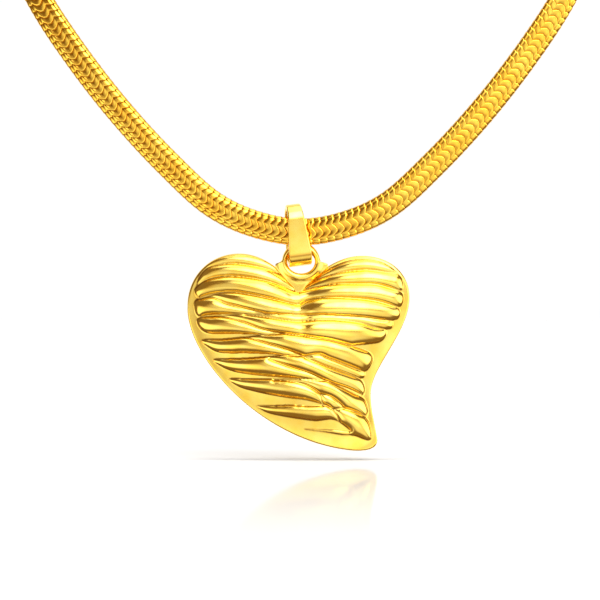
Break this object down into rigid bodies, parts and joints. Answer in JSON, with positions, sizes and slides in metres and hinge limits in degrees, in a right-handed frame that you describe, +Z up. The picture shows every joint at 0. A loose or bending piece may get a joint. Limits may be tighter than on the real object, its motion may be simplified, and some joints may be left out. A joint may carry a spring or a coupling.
{
  "type": "pendant necklace",
  "caption": "Ribbed, puffed heart pendant on a folded bail, hung on a flat snake chain that closes behind the neck with a lobster clasp and an extender.",
  "frame": {"origin": "middle of the chain's front, where the bail hangs and the neck or a display bust bears on the chain", "axes": "+Z up, -Y is the front that faces the viewer, +Y towards the wearer, +X to the viewer's right"},
  "size_m": [0.1028, 0.0552, 0.1619],
  "materials": {
    "chain": "polished gold plating on interlocked flat links",
    "heart": "mirror-polished gold plating",
    "heart_back": "fine brushed gold plating",
    "fitting": "polished gold plating",
    "ring": "polished gold plating on round wire",
    "clasp": "polished gold plating, slightly softer edges",
    "spring": "plain spring steel"
  },
  "bodies": {
    "chain_front": {"chain_front": "chain"},
    "bail": {"bail": "fitting"},
    "pendant": {"pendant_eyelet": "fitting", "heart_front_shell": "heart", "heart_back_plate": "heart_back"},
    "chain_left_1": {"chain_left_1": "chain"},
    "chain_left_2": {"chain_left_2": "chain"},
    "chain_left_end": {"chain_left_3": "chain", "end_cap_left": "fitting"},
    "ring_left": {"jump_ring_left": "ring"},
    "clasp": {"clasp_body": "clasp", "clasp_rivet": "clasp", "clasp_spring": "spring"},
    "clasp_lever": {"clasp_lever": "clasp"},
    "chain_right_1": {"chain_right_1": "chain"},
    "chain_right_2": {"chain_right_2": "chain"},
    "chain_right_end": {"chain_right_3": "chain", "end_cap_right": "fitting"},
    "ring_right": {"jump_ring_right": "ring"},
    "extender_link_01": {"extender_link_01": "ring"},
    "extender_link_02": {"extender_link_02": "ring"},
    "extender_link_03": {"extender_link_03": "ring"},
    "extender_link_04": {"extender_link_04": "ring"},
    "extender_link_05": {"extender_link_05": "ring"},
    "extender_link_06": {"extender_link_06": "ring"},
    "extender_link_07": {"extender_link_07": "ring"},
    "extender_link_08": {"extender_link_08": "ring"},
    "extender_link_09": {"extender_link_09": "ring"},
    "extender_link_10": {"extender_link_10": "ring"},
    "extender_drop": {"extender_drop": "ring"}
  },
  "joints": [
    {"name": "bail_swing", "type": "hinge", "parent": "chain_front", "child": "bail", "pos_m": [0, 0, 0], "axis": [1, 0, 0], "range_deg": [-18, 12]},
    {"name": "heart_swing", "type": "hinge", "parent": "bail", "child": "pendant", "pos_m": [0, 0, -0.00427], "axis": [1, 0, 0], "range_deg": [-20, 20]},
    {"name": "chain_left_flex_1", "type": "hinge", "parent": "chain_front", "child": "chain_left_1", "pos_m": [-0.045, 0.00337, 0.04921], "axis": [0.7546, -0.5271, 0.3908], "range_deg": [0, 20]},
    {"name": "chain_left_flex_2", "type": "hinge", "parent": "chain_left_1", "child": "chain_left_2", "pos_m": [-0.05072, 0.0163, 0.08202], "axis": [-0.0279, -0.8784, 0.4771], "range_deg": [0, 20]},
    {"name": "chain_left_flex_3", "type": "hinge", "parent": "chain_left_2", "child": "chain_left_end", "pos_m": [-0.04218, 0.03527, 0.1109], "axis": [-0.4598, -0.4949, 0.7373], "range_deg": [0, 20]},
    {"name": "chain_right_flex_1", "type": "hinge", "parent": "chain_front", "child": "chain_right_1", "pos_m": [0.045, 0.00337, 0.04921], "axis": [0.7546, 0.5271, -0.3908], "range_deg": [0, 20]},
    {"name": "chain_right_flex_2", "type": "hinge", "parent": "chain_right_1", "child": "chain_right_2", "pos_m": [0.05072, 0.0163, 0.08202], "axis": [-0.0279, 0.8784, -0.4771], "range_deg": [0, 20]},
    {"name": "chain_right_flex_3", "type": "hinge", "parent": "chain_right_2", "child": "chain_right_end", "pos_m": [0.04218, 0.03527, 0.1109], "axis": [-0.4598, 0.4949, -0.7373], "range_deg": [0, 20]},
    {"name": "clasp_ring_swing", "type": "hinge", "parent": "chain_left_end", "child": "ring_left", "pos_m": [-0.00883, 0.04908, 0.12626], "axis": [-0.1939, 0.981, 0], "range_deg": [-30, 30]},
    {"name": "clasp_swing", "type": "hinge", "parent": "ring_left", "child": "clasp", "pos_m": [-0.00573, 0.0497, 0.12678], "axis": [-0.1939, 0.981, 0], "range_deg": [-40, 40]},
    {"name": "clasp_lever_open", "type": "hinge", "parent": "clasp", "child": "clasp_lever", "pos_m": [-0.00267, 0.0503, 0.12566], "axis": [0.1939, -0.981, 0], "range_deg": [0, 18], "stiffness_Nm_per_rad": 0.003, "springref_deg": -20.05},
    {"name": "extender_ring_swing", "type": "hinge", "parent": "chain_right_end", "child": "ring_right", "pos_m": [0.00883, 0.04908, 0.12626], "axis": [0.1939, 0.981, 0], "range_deg": [-20, 8]},
    {"name": "extender_swing_01", "type": "hinge", "parent": "ring_right", "child": "extender_link_01", "pos_m": [0.00628, 0.04959, 0.12439], "axis": [0, 1, 0], "range_deg": [-20, 20]},
    {"name": "extender_swing_02", "type": "hinge", "parent": "extender_link_01", "child": "extender_link_02", "pos_m": [0.00628, 0.04959, 0.12034], "axis": [1, 0, 0], "range_deg": [-20, 20]},
    {"name": "extender_swing_03", "type": "hinge", "parent": "extender_link_02", "child": "extender_link_03", "pos_m": [0.00628, 0.04959, 0.11624], "axis": [0, 1, 0], "range_deg": [-20, 20]},
    {"name": "extender_swing_04", "type": "hinge", "parent": "extender_link_03", "child": "extender_link_04", "pos_m": [0.00628, 0.04959, 0.11214], "axis": [1, 0, 0], "range_deg": [-20, 20]},
    {"name": "extender_swing_05", "type": "hinge", "parent": "extender_link_04", "child": "extender_link_05", "pos_m": [0.00628, 0.04959, 0.10804], "axis": [0, 1, 0], "range_deg": [-20, 20]},
    {"name": "extender_swing_06", "type": "hinge", "parent": "extender_link_05", "child": "extender_link_06", "pos_m": [0.00628, 0.04959, 0.10394], "axis": [1, 0, 0], "range_deg": [-20, 20]},
    {"name": "extender_swing_07", "type": "hinge", "parent": "extender_link_06", "child": "extender_link_07", "pos_m": [0.00628, 0.04959, 0.09984], "axis": [0, 1, 0], "range_deg": [-20, 20]},
    {"name": "extender_swing_08", "type": "hinge", "parent": "extender_link_07", "child": "extender_link_08", "pos_m": [0.00628, 0.04959, 0.09574], "axis": [1, 0, 0], "range_deg": [-20, 20]},
    {"name": "extender_swing_09", "type": "hinge", "parent": "extender_link_08", "child": "extender_link_09", "pos_m": [0.00628, 0.04959, 0.09164], "axis": [0, 1, 0], "range_deg": [-20, 20]},
    {"name": "extender_swing_10", "type": "hinge", "parent": "extender_link_09", "child": "extender_link_10", "pos_m": [0.00628, 0.04959, 0.08754], "axis": [1, 0, 0], "range_deg": [-20, 20]},
    {"name": "extender_tip_swing", "type": "hinge", "parent": "extender_link_10", "child": "extender_drop", "pos_m": [0.00628, 0.04959, 0.08344], "axis": [0, 1, 0], "range_deg": [-30, 30]}
  ]
}
